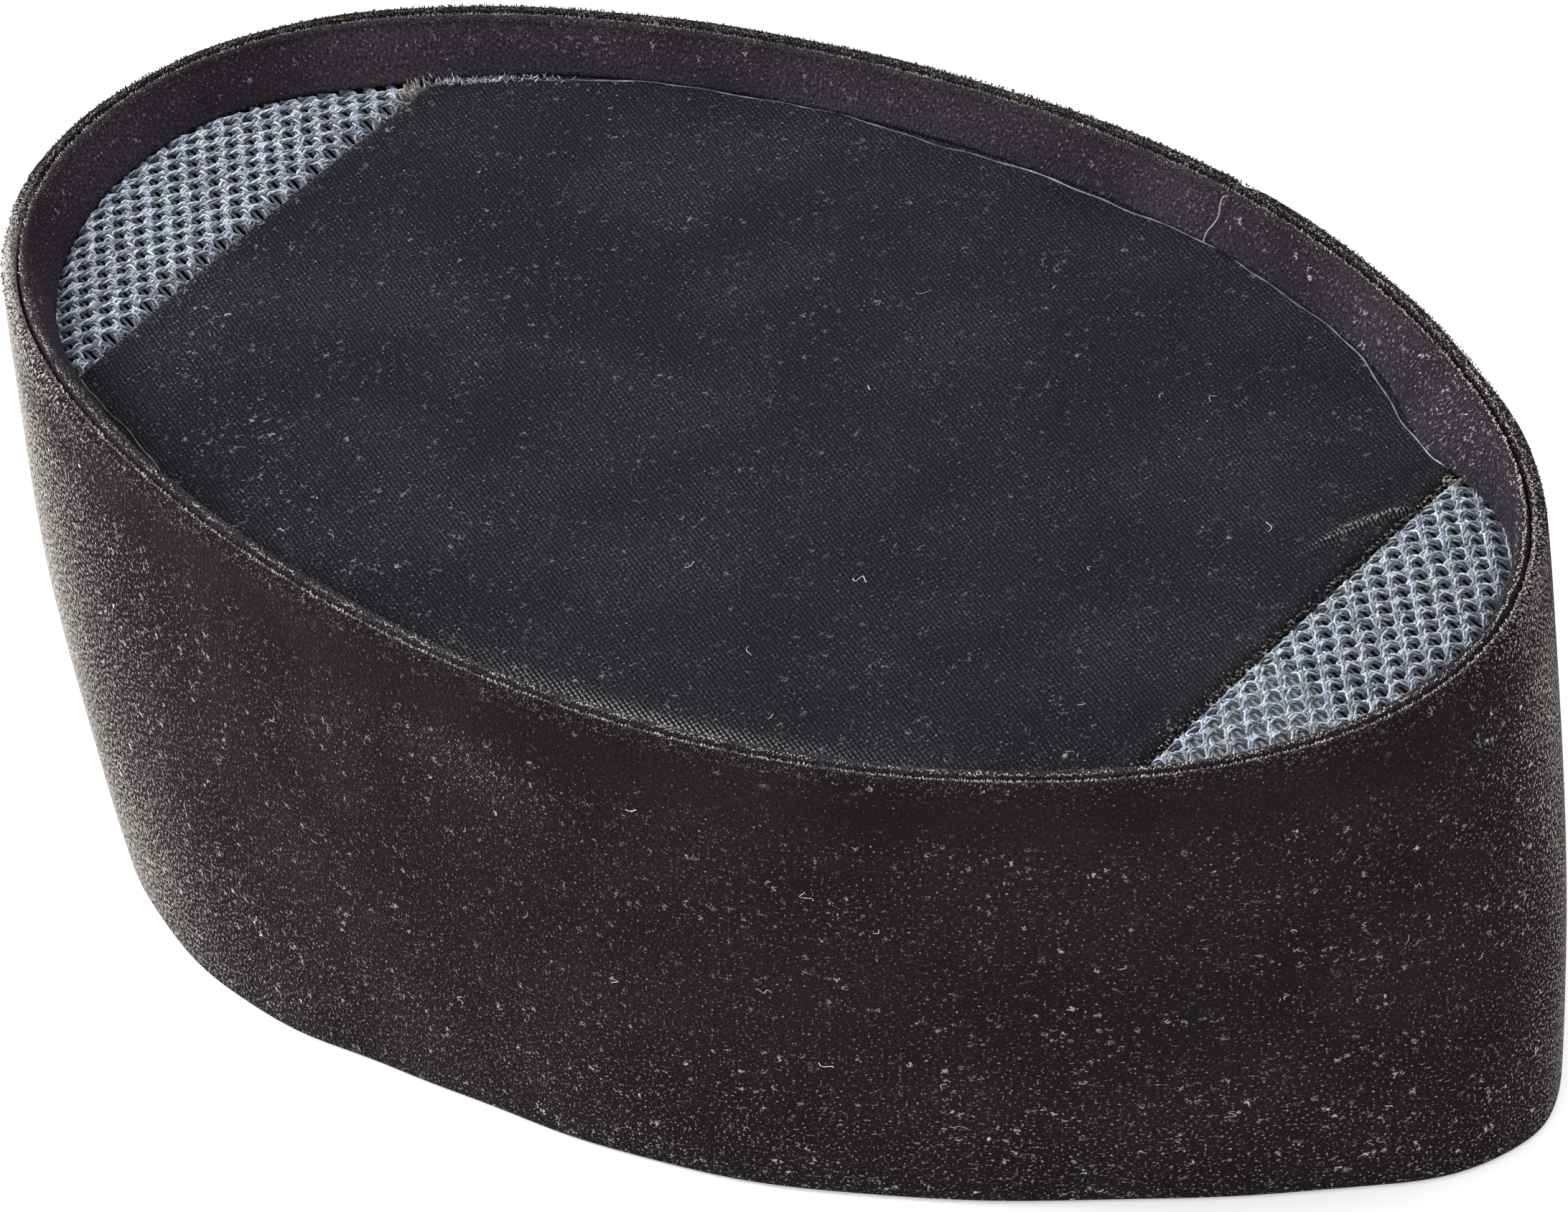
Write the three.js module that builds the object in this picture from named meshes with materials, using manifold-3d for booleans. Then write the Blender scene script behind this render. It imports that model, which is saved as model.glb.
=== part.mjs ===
import * as THREE from 'three';
import { mergeGeometries, mergeVertices } from 'three/addons/utils/BufferGeometryUtils.js';
import Module from 'manifold-3d';

// A songkok: a stiff oval cap of black velvet, open below, with a crown sunk inside its top rim.
// The crown is a velvet panel between two straight seams, with a mesh vent at the front and rear.
// Millimetres, +Z up. +Y is the rear of the hat and +X its left side as worn. The origin lies on
// the surface that the hat stands on, in the middle of the space that the hat takes up.

// Overall form
const HEIGHT = 78.7;
const RIM_LENGTH = 237.2;
const RIM_WIDTH = 135.6;
const HEM_LENGTH = 229.0;
const HEM_WIDTH = 136.5;
const HEM_FORWARD = 5.4; // how far the hem's middle lies in front of the rim's
const SIDE_SWELL = 1.4; // at half height, out from the straight line between hem and rim
const END_SWELL = 2.4;

// Walls and what keeps them apart
const BAND_WALL = 2.0;
const FACING_WALL = 1.5;
const CROWN_WALL = 1.5;
const MESH_WALL = 1.3;
const GAP = 0.3;

// Sunken crown
const CROWN_DROP = 6.5; // from the rim down to the edge of the velvet panel
const CROWN_INSET = 7.5; // from the outer face of the rim in to the edge of the crown
const CROWN_RISE = 1.0; // the panel's middle above its edge
const FRONT_SEAM = 87.8; // from the middle of the hat to each straight seam
const REAR_SEAM = 86.9;
const SEAM_LAP = 5.0; // how far the mesh reaches in under the velvet
const MESH_PUFF = 1.4; // the vents' middles above their edges at the facing
const FACING_RUN = CROWN_INSET - BAND_WALL - GAP - FACING_WALL; // how far in the facing slants

// Places where the facing is pulled in further (a share of its run above 0) or stands steeper
// (below 0), each fading out over its reach round the hat. The velvet's left corners pull it in.
const FACING_BENDS = [
  { angle: THREE.MathUtils.degToRad(-65), reach: THREE.MathUtils.degToRad(11), pull: -0.86 },
  { angle: THREE.MathUtils.degToRad(-48), reach: THREE.MathUtils.degToRad(7), pull: 0.70 },
  { angle: THREE.MathUtils.degToRad(54), reach: THREE.MathUtils.degToRad(11), pull: 0.50 },
  { angle: THREE.MathUtils.degToRad(124), reach: THREE.MathUtils.degToRad(15), pull: -0.54 },
];

// Holes of the mesh, in rows that run across the hat
const HOLE_LENGTH = 3.6;
const HOLE_WIDTH = 2.6;
const HOLE_PITCH = 5.8;
const ROW_PITCH = 2.8;
const MESH_BORDER = 2.2; // solid mesh kept between the holes and the crown's edge

// Where the two ends of the band's velvet are joined, on the left side towards the front
const JOIN_ANGLE = THREE.MathUtils.degToRad(-18);
const JOIN_WIDTH = 3.0;
const JOIN_DEPTH = 0.7;

// Fineness of the facets
const STEPS_ROUND = 4 * 22; // so many to each quarter, with a corner at the front, rear and sides
const ROLL_STEPS = 4;

const CROWN_EDGE = HEIGHT - CROWN_DROP; // height of the velvet panel's top at its edge
const QUARTER_TURN = Math.PI / 2;

// Each plan outline is an oval with a little of the higher multiples of the angle round the hat,
// as shares of its half width (across) or half length (along). Angle 0 is the left side and a
// quarter turn the rear, and the terms leave the width at angle 0 and the length as they are.
const RIM = {
  halfWidth: RIM_WIDTH / 2, halfLength: RIM_LENGTH / 2, forward: 0,
  across2: -0.029, across3: 0.002, across4: -0.008, across5: 0,
  along2: 0.023, along3: 0.003, along4: 0,
};
const HEM = {
  halfWidth: HEM_WIDTH / 2, halfLength: HEM_LENGTH / 2, forward: HEM_FORWARD,
  across2: 0.048, across3: -0.023, across4: -0.020, across5: -0.031,
  along2: 0.095, along3: -0.081, along4: 0.005,
};
const HEM_SLIP = 2 * (HEM.along2 - RIM.along2) - HEM_FORWARD / HEM.halfLength;

function outlinePoint(row, angle) {
  const across = Math.cos(angle) + row.across2 * Math.sin(2 * angle)
    + row.across3 * (Math.cos(3 * angle) - Math.cos(angle))
    + row.across4 * Math.sin(4 * angle)
    + row.across5 * (Math.cos(5 * angle) - Math.cos(angle));
  const along = Math.sin(angle) + row.along2 * (1 + Math.cos(2 * angle))
    + row.along3 * (Math.sin(3 * angle) + Math.sin(angle))
    + row.along4 * (1 - Math.cos(4 * angle));
  return new THREE.Vector2(row.halfWidth * across, row.halfLength * along - row.forward);
}

// The outer face of the side at a share of the height: a straight line from hem to rim that
// swells out by a parabola. The hem's angle slips forward at the sides, because its widest place
// lies further back, so that the lines up the wall stand upright.
function sidePoint(angle, share) {
  const swell = 4 * share * (1 - share);
  const hemAngle = angle - HEM_SLIP * Math.cos(angle);
  const point = outlinePoint(HEM, hemAngle).lerp(outlinePoint(RIM, angle), share);
  point.x += SIDE_SWELL * swell * Math.cos(angle);
  point.y += END_SWELL * swell * Math.sin(angle);
  return point;
}

// A point so far in from the outer face, square to the outline at that height.
function insetPoint(angle, z, inset) {
  const step = 0.001;
  const share = z / HEIGHT;
  const along = sidePoint(angle + step, share).sub(sidePoint(angle - step, share)).normalize();
  const point = sidePoint(angle, share);
  return new THREE.Vector3(point.x - inset * along.y, point.y + inset * along.x, z);
}

// Half the width of the join as an angle, from the distance that the rim covers in one radian there.
const joinReach = JOIN_WIDTH / 2
  / sidePoint(JOIN_ANGLE + 0.5, 1).distanceTo(sidePoint(JOIN_ANGLE - 0.5, 1));

// The groove where the band's ends meet: a V, from 0 beside it to 1 at its bottom.
function joinDepth(angle) {
  return Math.max(0, 1 - Math.abs(angle - JOIN_ANGLE) / joinReach);
}

// The inset of the crown's edge, which is also where the facing's foot stands.
function crownInset(angle) {
  const bends = FACING_BENDS.map((bend) => (
    bend.pull * Math.exp(2 * (Math.cos(angle - bend.angle) - 1) / bend.reach ** 2)));
  return CROWN_INSET + FACING_RUN * bends.reduce((sum, bend) => sum + bend, 0);
}

// Angles round the hat from -90 to 270 degrees, evenly spaced, with three more at the join.
function anglesRound() {
  const even = Array.from({ length: STEPS_ROUND }, (_, i) => (i / STEPS_ROUND) * 2 * Math.PI - QUARTER_TURN);
  const clearOfJoin = even.filter((angle) => Math.abs(angle - JOIN_ANGLE) > 1.2 * joinReach);
  return [...clearOfJoin, JOIN_ANGLE - joinReach, JOIN_ANGLE, JOIN_ANGLE + joinReach].sort((a, b) => a - b);
}

const ANGLES = anglesRound();

function geometryOf(points, triangles) {
  const geometry = new THREE.BufferGeometry();
  geometry.setAttribute('position', new THREE.Float32BufferAttribute(points.flatMap((p) => p.toArray()), 3));
  geometry.setIndex(triangles.flat());
  return geometry;
}

// A closed ring: the same loop of section points at each angle, joined to the next angle's loop.
// A section runs up the outer face, over the top and down the inner face.
function ringGeometry(sectionAt) {
  const sections = ANGLES.map(sectionAt);
  const size = sections[0].length;
  const triangles = [];
  sections.forEach((_, i) => {
    const next = (i + 1) % sections.length;
    for (let j = 0; j < size; j += 1) {
      const up = (j + 1) % size;
      triangles.push([i * size + j, next * size + j, next * size + up]);
      triangles.push([i * size + j, next * size + up, i * size + up]);
    }
  });
  return geometryOf(sections.flat(), triangles);
}

// The round top of a fold of cloth, from its outer to its inner side, as [inset, height] pairs.
function foldTop(outerInset, wall, top) {
  const radius = wall / 2;
  return Array.from({ length: ROLL_STEPS + 1 }, (_, i) => {
    const turn = (i / ROLL_STEPS) * Math.PI;
    return [outerInset + radius * (1 - Math.cos(turn)), top - radius * (1 - Math.sin(turn))];
  });
}

function sideBand() {
  const shares = [0, 0.15, 0.32, 0.5, 0.68, 0.85];
  const rows = [
    ...shares.map((share) => [0, share * HEIGHT]),
    ...foldTop(0, BAND_WALL, HEIGHT),
    ...shares.toReversed().map((share) => [BAND_WALL, share * HEIGHT]),
  ];
  return ringGeometry((angle) => rows.map(([inset, z]) => {
    const groove = JOIN_DEPTH * joinDepth(angle) * (1 - inset / BAND_WALL);
    return insetPoint(angle, z, inset + groove);
  }));
}

// The facing slants from the fold at the rim in to the crown, and its foot stands on the crown.
function rimFacing() {
  const outer = BAND_WALL + GAP;
  const shoulder = HEIGHT - FACING_WALL / 2;
  const foot = CROWN_EDGE + GAP;
  const fall = shoulder - foot;
  return ringGeometry((angle) => {
    const footInset = crownInset(angle);
    const run = footInset - outer - FACING_WALL;
    const footDepth = FACING_WALL * Math.hypot(run, fall) / fall;
    const rows = [
      [outer, foot + (footInset - footDepth - outer) * fall / run],
      ...foldTop(outer, FACING_WALL, HEIGHT),
      [footInset, foot],
      [footInset - footDepth, foot],
    ];
    return rows.map(([inset, z]) => {
      const groove = JOIN_DEPTH * joinDepth(angle) * (inset - outer) / (footInset - outer) / 2;
      return insetPoint(angle, z, inset - groove);
    });
  });
}

// A sheet across the whole crown, out to the inner face of the band, as a closed solid. Each of its
// rows joins an angle on the right side to one on the left. riseAt gives the height above the
// sheet's edge from the share across (-1 to 1) and the place along the hat.
function crownSheet(edge, wall, rowAngles, riseAt) {
  const across = [-1, -0.96, -0.88, -0.7, -0.4, 0, 0.4, 0.7, 0.88, 0.96, 1];
  const rows = rowAngles.map(([rightAngle, leftAngle]) => {
    const right = insetPoint(rightAngle, edge, crownInset(rightAngle));
    const left = insetPoint(leftAngle, edge, crownInset(leftAngle));
    const middle = across.map((share) => {
      const point = right.clone().lerp(left, (share + 1) / 2);
      point.z += riseAt(share, point.y);
      return point;
    });
    const rightLip = insetPoint(rightAngle, edge, BAND_WALL + GAP);
    const leftLip = insetPoint(leftAngle, edge, BAND_WALL + GAP);
    rightLip.z += riseAt(-1, right.y);
    leftLip.z += riseAt(1, left.y);
    return [rightLip, ...middle, leftLip];
  });
  const size = rows[0].length;
  const count = rows.length * size;
  const top = rows.flat();
  const points = [...top, ...top.map((p) => new THREE.Vector3(p.x, p.y, p.z - wall))];
  const triangles = [];
  const quad = (a, b, c, d) => triangles.push([a, b, c], [a, c, d]);
  rows.slice(1).forEach((_, i) => {
    const near = i * size;
    const far = near + size;
    for (let j = 0; j < size - 1; j += 1) {
      quad(near + j, near + j + 1, far + j + 1, far + j);
      quad(count + near + j, count + far + j, count + far + j + 1, count + near + j + 1);
    }
    quad(near + count, near, far, far + count);
    quad(near + size - 1, near + size - 1 + count, far + size - 1 + count, far + size - 1);
  });
  return mergeVertices(geometryOf(points, triangles), 1e-4);
}

const wasm = await Module();
wasm.setup();

function toSolid(geometry) {
  const bare = geometry.index ? geometry.clone() : geometry;
  bare.deleteAttribute('normal');
  bare.deleteAttribute('uv');
  const merged = mergeVertices(bare, 1e-4);
  const mesh = new wasm.Mesh({
    numProp: 3,
    vertProperties: new Float32Array(merged.attributes.position.array),
    triVerts: new Uint32Array(merged.index.array),
  });
  return new wasm.Manifold(mesh);
}

function toGeometry(solid) {
  const mesh = solid.getMesh();
  const geometry = new THREE.BufferGeometry();
  geometry.setAttribute('position', new THREE.Float32BufferAttribute(mesh.vertProperties, 3));
  geometry.setIndex(Array.from(mesh.triVerts));
  return geometry;
}

// A block across the whole hat between two places along it.
function slab(from, to) {
  const block = new THREE.BoxGeometry(2 * RIM_WIDTH, to - from, 2 * HEIGHT);
  return toSolid(block.translate(0, (from + to) / 2, HEIGHT));
}

function crownPanel() {
  const rise = (share) => CROWN_RISE * (1 - share ** 2);
  const rowAngles = ANGLES.filter((angle) => angle <= QUARTER_TURN + 1e-9)
    .map((angle) => [Math.PI - angle, angle]);
  const sheet = toSolid(crownSheet(CROWN_EDGE, CROWN_WALL, rowAngles, rise));
  return toGeometry(sheet.intersect(slab(-FRONT_SEAM, REAR_SEAM)));
}

// Whether a point lies inside a closed outline, by the sides of it that lie to the point's right.
function isInside(outline, x, y) {
  return outline.filter((a, i) => {
    const b = outline[(i + 1) % outline.length];
    const crosses = (a.y > y) !== (b.y > y);
    return crosses && x < a.x + (b.x - a.x) * (y - a.y) / (b.y - a.y);
  }).length % 2 === 1;
}

// Six-sided holes in rows, every second row shifted by half a pitch, kept inside the border.
function meshHoles(seam, end) {
  const sides = 6;
  const corners = Array.from({ length: sides }, (_, i) => {
    const turn = (i / sides) * 2 * Math.PI;
    return new THREE.Vector2(HOLE_LENGTH / 2 * Math.cos(turn), HOLE_WIDTH / 2 * Math.sin(turn));
  });
  const hole = new THREE.Shape(corners);
  const border = ANGLES.map((angle) => insetPoint(angle, CROWN_EDGE, crownInset(angle) + MESH_BORDER));
  const fits = (x, y) => corners.every((corner) => isInside(border, x + corner.x, y + corner.y));
  const prisms = [];
  const first = seam + MESH_BORDER + HOLE_WIDTH / 2;
  for (let row = 0; first + row * ROW_PITCH < RIM_LENGTH / 2; row += 1) {
    const y = end * (first + row * ROW_PITCH);
    const shift = (row % 2) * HOLE_PITCH / 2;
    for (let x = shift - RIM_WIDTH / 2 + (RIM_WIDTH / 2) % HOLE_PITCH; x < RIM_WIDTH / 2; x += HOLE_PITCH) {
      if (fits(x, y)) {
        const prism = new THREE.ExtrudeGeometry(hole, { depth: HEIGHT, bevelEnabled: false });
        prisms.push(prism.translate(x, y, HEIGHT / 2));
      }
    }
  }
  return toSolid(mergeGeometries(prisms));
}

// The angle between two others at which the crown's edge passes a place along the hat, found by
// halving. The place lies behind the first angle's and in front of the second's.
function angleAt(place, from, to) {
  const middle = (from + to) / 2;
  if (Math.abs(to - from) < 1e-6) return middle;
  const reached = insetPoint(middle, CROWN_EDGE, crownInset(middle)).y;
  return reached < place ? angleAt(place, middle, to) : angleAt(place, from, middle);
}

// A vent: the mesh laps in under the velvet's turned edge, rises to the facing's foot and puffs up
// like a thin pillow with full shoulders. end is -1 at the front and 1 at the rear.
function ventMesh(seam, end) {
  const edge = CROWN_EDGE - CROWN_WALL - GAP;
  const start = seam + GAP;
  const tip = Math.abs(insetPoint(end * QUARTER_TURN, CROWN_EDGE, crownInset(end * QUARTER_TURN)).y);
  const rise = (share, y) => {
    const beyond = Math.max(end * y - start, 0);
    const along = Math.min(beyond / (tip - start), 1);
    const climbed = Math.min(beyond / SEAM_LAP, 1);
    const lift = (CROWN_EDGE - edge) * climbed * (2 - climbed);
    return lift + MESH_PUFF * (1 - share ** 8) * (1 - (2 * along - 1) ** 8);
  };
  const shares = [0, 0.04, 0.1, 0.2, 0.35, 0.55, 0.75, 0.88, 0.96];
  const places = [-seam, 0, start - 2 * SEAM_LAP, ...shares.map((share) => start + (tip - start) * share)];
  const right = 3 * QUARTER_TURN;
  const rowAngles = [
    [end * -QUARTER_TURN, end * -QUARTER_TURN],
    ...places.map((place) => [
      angleAt(end * place, right, QUARTER_TURN), angleAt(end * place, -QUARTER_TURN, QUARTER_TURN)]),
    [end * QUARTER_TURN, end * QUARTER_TURN],
  ];
  if (end < 0) rowAngles.reverse();
  const inner = end * (seam - SEAM_LAP);
  const outer = end * RIM_LENGTH;
  const sheet = toSolid(crownSheet(edge, MESH_WALL, rowAngles, rise));
  const vent = sheet.intersect(slab(Math.min(inner, outer), Math.max(inner, outer)));
  return toGeometry(vent.subtract(meshHoles(seam, end)));
}

function named(name, geometry, colour, roughness) {
  const material = new THREE.MeshStandardMaterial({ color: colour, roughness, metalness: 0 });
  const mesh = new THREE.Mesh(geometry, material);
  mesh.name = name;
  return mesh;
}

const songkok = new THREE.Group();
songkok.add(named('side_band', sideBand(), 0x17161a, 0.95));
songkok.add(named('rim_facing', rimFacing(), 0x1c1b1e, 0.95));
songkok.add(named('crown_panel', crownPanel(), 0x15161b, 0.9));
songkok.add(named('vent_mesh_front', ventMesh(FRONT_SEAM, -1), 0x59616f, 0.7));
songkok.add(named('vent_mesh_rear', ventMesh(REAR_SEAM, 1), 0x59616f, 0.7));

// The shapes are worked out round the middle of the rim, and the hem reaches a little further forward.
const middle = new THREE.Box3().setFromObject(songkok).getCenter(new THREE.Vector3());
songkok.position.set(-middle.x, -middle.y, 0);

export default songkok;
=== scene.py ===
"""A songkok in its real cloth: black velvet over a stiff oval band, a velvet crown sunk inside the
rim, and a knitted mesh vent at the front and the rear of the crown.

Lengths are in millimetres up to the point where a mesh is made, which turns them to metres.
+Y is the rear of the hat and +X its left side as worn. Angles go round the hat from the left side,
through the rear at a quarter turn, so the camera sees the side at about 200 degrees.
"""

import math

import bpy
import numpy as np
from mathutils import Matrix, Vector


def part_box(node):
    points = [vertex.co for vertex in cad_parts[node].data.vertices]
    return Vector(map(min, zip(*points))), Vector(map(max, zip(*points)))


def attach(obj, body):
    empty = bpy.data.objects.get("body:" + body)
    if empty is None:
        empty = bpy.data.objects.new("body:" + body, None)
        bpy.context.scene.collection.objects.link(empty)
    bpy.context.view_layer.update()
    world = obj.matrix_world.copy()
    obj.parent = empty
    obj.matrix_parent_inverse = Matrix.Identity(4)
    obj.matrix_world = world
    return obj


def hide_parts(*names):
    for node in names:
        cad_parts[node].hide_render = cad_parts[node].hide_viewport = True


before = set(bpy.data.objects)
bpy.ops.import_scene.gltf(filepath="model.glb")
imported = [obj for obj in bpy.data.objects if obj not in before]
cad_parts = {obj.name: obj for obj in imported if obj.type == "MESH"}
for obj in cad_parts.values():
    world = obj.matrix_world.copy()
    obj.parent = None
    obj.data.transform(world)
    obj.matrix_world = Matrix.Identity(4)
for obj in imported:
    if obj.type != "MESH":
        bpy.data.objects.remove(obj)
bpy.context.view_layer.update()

MM = 0.001
QUARTER_TURN = math.pi / 2
ROUND_STEPS = 720  # points round the side and the facing, half a degree apart
random = np.random.default_rng(1957)

# The hat's sizes: what the frame holds is read from it, and the rest repeats the part's own values.
band_low, band_high = (np.array(corner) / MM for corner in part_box("side_band"))
crown_low, crown_high = (np.array(corner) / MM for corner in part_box("crown_panel"))
HEIGHT = band_high[2]
RIM_LENGTH = 237.2
RIM_WIDTH = 135.6
HEM_LENGTH = 229.0
HEM_WIDTH = 136.5
HEM_FORWARD = 5.4
SIDE_SWELL = 1.4
END_SWELL = 2.4
RIM_MIDDLE = band_high[1] - RIM_LENGTH / 2
FRONT_SEAM = crown_low[1]
REAR_SEAM = crown_high[1]

BAND_WALL = 2.0
FACING_WALL = 1.5
CROWN_WALL = 1.5
GAP = 0.3
CROWN_DROP = 6.5
CROWN_INSET = 7.5
CROWN_RISE = 1.0
CROWN_EDGE = HEIGHT - CROWN_DROP
VENT_EDGE = CROWN_EDGE - CROWN_WALL - GAP
VENT_PUFF = 1.4
FACING_RUN = CROWN_INSET - BAND_WALL - GAP - FACING_WALL

# Places where the facing is pulled in further (a share of its run above 0) or stands steeper (below
# 0), each fading out over its reach round the hat. Angles are in degrees.
FACING_BENDS = [
    dict(angle=-65, reach=11, pull=-0.86),
    dict(angle=-48, reach=7, pull=0.70),
    dict(angle=54, reach=11, pull=0.50),
    dict(angle=124, reach=15, pull=-0.54),
]

# Places where the cloth stands out from the even outline by so many millimetres, fading over a reach
# round the hat in degrees and a spread up and down in millimetres.
BULGES = [
    dict(angle=157, reach=14, height=0, spread=16, out=1.5),
    dict(angle=122, reach=25, height=40, spread=60, out=1.5),
    dict(angle=-68, reach=20, height=60, spread=45, out=0.4),
    dict(angle=256, reach=9, height=2, spread=14, out=0.9),
    dict(angle=228, reach=40, height=0, spread=12, out=0.8),
    dict(angle=58, reach=36, height=79, spread=16, out=1.3),
    dict(angle=-15, reach=20, height=79, spread=16, out=0.55),
    dict(angle=-58, reach=12, height=79, spread=16, out=0.5),
]

# Places on the side where its dust attribute rises, by their place and reach round the hat in degrees.
# The ones at 118 and -76 degrees are painted sheen where the side is seen edge-on, and the one at
# 138 degrees is partly drifted flecks and partly painted sheen.
SIDE_DUST_AND_SHEEN = [
    dict(angle=138, reach=15, dust_and_painted_light=1.1),
    dict(angle=118, reach=14, dust_and_painted_light=3.6),
    dict(angle=-76, reach=13, dust_and_painted_light=1.8),
]

JOIN_ANGLE = math.radians(-18)
JOIN_WIDTH = 3.0
JOIN_DEPTH = 0.7
JOIN_RADIUS = 66.0  # distance that the rim covers in one radian at the join

RIM = dict(half_width=RIM_WIDTH / 2, half_length=RIM_LENGTH / 2, forward=0,
           across2=-0.029, across3=0.002, across4=-0.008, across5=0,
           along2=0.023, along3=0.003, along4=0)
HEM = dict(half_width=HEM_WIDTH / 2, half_length=HEM_LENGTH / 2, forward=HEM_FORWARD,
           across2=0.048, across3=-0.023, across4=-0.020, across5=-0.031,
           along2=0.095, along3=-0.081, along4=0.005)
HEM_SLIP = 2 * (HEM["along2"] - RIM["along2"]) - HEM_FORWARD / HEM["half_length"]


# Shape of the hat

def outline(row, angle):
    """An oval whose width and length carry a little of the higher multiples of the angle, each a
    share of the half width or half length."""
    across = (np.cos(angle) + row["across2"] * np.sin(2 * angle)
              + row["across3"] * (np.cos(3 * angle) - np.cos(angle))
              + row["across4"] * np.sin(4 * angle)
              + row["across5"] * (np.cos(5 * angle) - np.cos(angle)))
    along = (np.sin(angle) + row["along2"] * (1 + np.cos(2 * angle))
             + row["along3"] * (np.sin(3 * angle) + np.sin(angle))
             + row["along4"] * (1 - np.cos(4 * angle)))
    return np.stack([row["half_width"] * across, row["half_length"] * along - row["forward"]], -1)


def side_point(angle, share):
    """The outer face in plan at a share of the height: a straight line from hem to rim that swells
    out by a parabola. The hem's angle slips forward at the sides, so that upright lines stay so."""
    swell = 4 * share * (1 - share)
    hem = outline(HEM, angle - HEM_SLIP * np.cos(angle))
    rim = outline(RIM, angle)
    point = hem + (rim - hem) * share[..., None]
    swelling = np.stack([SIDE_SWELL * swell * np.cos(angle), END_SWELL * swell * np.sin(angle)], -1)
    return point + swelling + (0, RIM_MIDDLE)


def outward(angle, height):
    """The level direction square to the outer face, from the difference of two nearby points."""
    step = 0.001
    share = height / HEIGHT
    along = side_point(angle + step, share) - side_point(angle - step, share)
    along /= np.linalg.norm(along, axis=-1, keepdims=True)
    return np.stack([along[..., 1], -along[..., 0], np.zeros_like(along[..., 0])], -1)


def wall_point(angle, height, inset):
    """The point so far in from the outer face, square to it, at each angle and height."""
    angle, height, inset = np.broadcast_arrays(*(np.asarray(a, float) for a in (angle, height, inset)))
    plan = side_point(angle, height / HEIGHT)
    point = np.concatenate([plan, height[..., None]], -1)
    return point - inset[..., None] * outward(angle, height)


def join_depth(angle):
    """A V at the place where the band's two ends meet: 1 at its bottom and 0 beside it."""
    reach = JOIN_WIDTH / 2 / JOIN_RADIUS
    return np.clip(1 - np.abs(angle - JOIN_ANGLE) / reach, 0, 1)


def soft_bump(value, middle, width):
    """A bell curve of height 1."""
    return np.exp(-((value - middle) / width) ** 2)


def bell_round(angle, middle, reach):
    """A bell curve round the hat, of height 1, from angles in radians and a place in degrees."""
    return np.exp(2 * (np.cos(angle - math.radians(middle)) - 1) / math.radians(reach) ** 2)


def bulge(angle, height):
    """How far the cloth of the side stands out from the even outline: a sum of bell curves."""
    return sum(place["out"] * bell_round(angle, place["angle"], place["reach"])
               * soft_bump(height, place["height"], place["spread"]) for place in BULGES)


def crown_inset(angle):
    """The inset of the crown's edge, which is also where the facing's foot stands."""
    bends = sum(bend["pull"] * bell_round(angle, bend["angle"], bend["reach"]) for bend in FACING_BENDS)
    return CROWN_INSET + FACING_RUN * bends


def side_angles(side, count):
    """Angles from the front to the rear along the left side (1) or the right side (-1)."""
    angle = np.linspace(-QUARTER_TURN, QUARTER_TURN, count)
    return angle if side > 0 else math.pi - angle


def crown_reach(along, side):
    """How far the crown's edge lies from the middle line on one side, at each place along the hat."""
    angle = side_angles(side, 721)
    line = wall_point(angle, CROWN_EDGE, crown_inset(angle))
    return np.interp(along, line[:, 1], np.abs(line[:, 0]))


def share_across(x, along):
    """0 on the middle line and 1 at the crown's edge on either side."""
    reach = np.where(x > 0, crown_reach(along, 1), crown_reach(along, -1))
    return np.clip(np.abs(x) / np.maximum(reach, 1.0), 0, 1)


# Meshes

def grid_faces(rows, columns, round_rows=False, round_columns=False):
    """The four-cornered faces of a grid of points. They face along (next row) x (next column)."""
    row = np.arange(rows if round_rows else rows - 1)[:, None]
    column = np.arange(columns if round_columns else columns - 1)[None, :]
    next_row = (row + 1) % rows
    next_column = (column + 1) % columns
    corners = (row * columns + column, next_row * columns + column,
               next_row * columns + next_column, row * columns + next_column)
    return np.stack(np.broadcast_arrays(*corners), -1).reshape(-1, 4)


def grid_cloth(round_lengths, section_lengths):
    """Cloth coordinates of the same faces' corners, in millimetres each way. Each list is one longer
    than the faces are, so that the last face of a ring doesn't run back to 0."""
    row = np.arange(len(round_lengths) - 1)[:, None]
    column = np.arange(len(section_lengths) - 1)[None, :]
    corners = ((row, column), (row + 1, column), (row + 1, column + 1), (row, column + 1))
    uv = [np.stack(np.broadcast_arrays(round_lengths[r], section_lengths[c]), -1) for r, c in corners]
    return np.stack(uv, -2).reshape(-1, 2)


def add_object(name, data):
    """Puts a mesh, a lamp or a camera into the scene."""
    thing = bpy.data.objects.new(name, data)
    bpy.context.scene.collection.objects.link(thing)
    return thing


def add_piece(name, points, faces, materials, stands_for=(), attributes=None, cloth=None,
              material_index=None):
    """Makes a mesh from points in millimetres and blocks of faces, and lets it ride on the hat."""
    mesh = bpy.data.meshes.new(name)
    corners = [face for block in faces for face in np.asarray(block).tolist()]
    mesh.from_pydata((points.reshape(-1, 3) * MM).tolist(), [], corners)
    for material in materials:
        mesh.materials.append(material)
    mesh.polygons.foreach_set("use_smooth", np.ones(len(mesh.polygons), bool))
    if material_index is not None:
        mesh.polygons.foreach_set("material_index", material_index.astype(np.int32))
    if cloth is not None:
        layer = mesh.uv_layers.new(name="Cloth")
        layer.uv.foreach_set("vector", cloth.astype(np.float32).ravel())
    for key, values in (attributes or {}).items():
        attribute = mesh.attributes.new(key, "FLOAT", "POINT")
        attribute.data.foreach_set("value", np.asarray(values, np.float32).ravel())
    mesh.update()
    piece = add_object(name, mesh)
    if stands_for:
        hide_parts(*stands_for)
    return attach(piece, "root")


def unit(vectors):
    """Each vector at a length of 1."""
    return vectors / np.linalg.norm(vectors, axis=-1, keepdims=True)


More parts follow.
